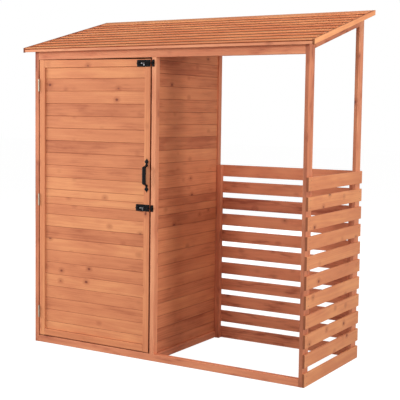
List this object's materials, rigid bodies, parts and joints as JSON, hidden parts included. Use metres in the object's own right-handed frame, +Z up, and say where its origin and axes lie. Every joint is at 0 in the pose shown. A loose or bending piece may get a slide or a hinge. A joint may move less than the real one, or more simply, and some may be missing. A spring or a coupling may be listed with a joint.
{
  "type": "log store",
  "caption": "Stained timber log store: a closed cabinet with a boarded, bolted door beside an open slatted log bay, under one lapped-board lean-to roof.",
  "frame": {"origin": "on the ground, under the centre of the roof's outline", "axes": "+X to the right seen from the front, -Y to the front with the door and the open bay, +Z up"},
  "size_m": [1.743, 0.764, 1.8487],
  "materials": {
    "stained_wood": "orange-brown stained softwood, sawn and planed",
    "stained_boards": "orange-brown stained softwood boards with V joints",
    "roof_boards": "orange-brown stained lapped boards",
    "zinc_steel": "pale zinc plated steel",
    "black_steel": "black lacquered steel"
  },
  "bodies": {
    "frame": {"front_left_post": "stained_wood", "rear_left_post": "stained_wood", "front_middle_post": "stained_wood", "rear_middle_post": "stained_wood", "front_right_upright": "stained_wood", "rear_right_upright": "stained_wood", "front_sill": "stained_wood", "left_sill": "stained_wood", "partition_sill": "stained_wood", "rear_sill": "stained_wood", "front_header": "stained_wood", "rear_header": "stained_wood", "left_rafter": "stained_wood", "middle_rafter": "stained_wood", "right_rafter": "stained_wood", "left_wall": "stained_boards", "partition_wall": "stained_boards", "cabinet_rear_wall": "stained_boards", "bay_right_slats": "stained_wood", "bay_rear_slats": "stained_wood", "bay_left_batten": "stained_wood", "bay_right_batten": "stained_wood", "roof_deck": "roof_boards", "left_bargeboard": "stained_wood", "right_bargeboard": "stained_wood", "front_fascia": "stained_wood", "rear_fascia": "stained_wood", "hinge_post_leaves": "zinc_steel", "upper_bolt_keeper": "black_steel", "lower_bolt_keeper": "black_steel"},
    "door": {"door_left_stile": "stained_wood", "door_right_stile": "stained_wood", "door_top_rail": "stained_wood", "door_bottom_rail": "stained_wood", "door_panel": "stained_boards", "hinge_door_leaves": "zinc_steel", "upper_bolt_plate": "black_steel", "lower_bolt_plate": "black_steel", "door_handle": "black_steel"},
    "upper_bolt": {"upper_bolt_rod": "black_steel"},
    "lower_bolt": {"lower_bolt_rod": "black_steel"}
  },
  "joints": [
    {"name": "door_hinge", "type": "hinge", "parent": "frame", "child": "door", "pos_m": [-0.804, -0.3319, 0.80825], "axis": [0, 0, -1], "range_deg": [0, 170]},
    {"name": "upper_bolt_slide", "type": "slide", "parent": "door", "child": "upper_bolt", "axis": [1, 0, 0], "range_m": [0, 0.02]},
    {"name": "lower_bolt_slide", "type": "slide", "parent": "door", "child": "lower_bolt", "axis": [1, 0, 0], "range_m": [0, 0.02]}
  ]
}
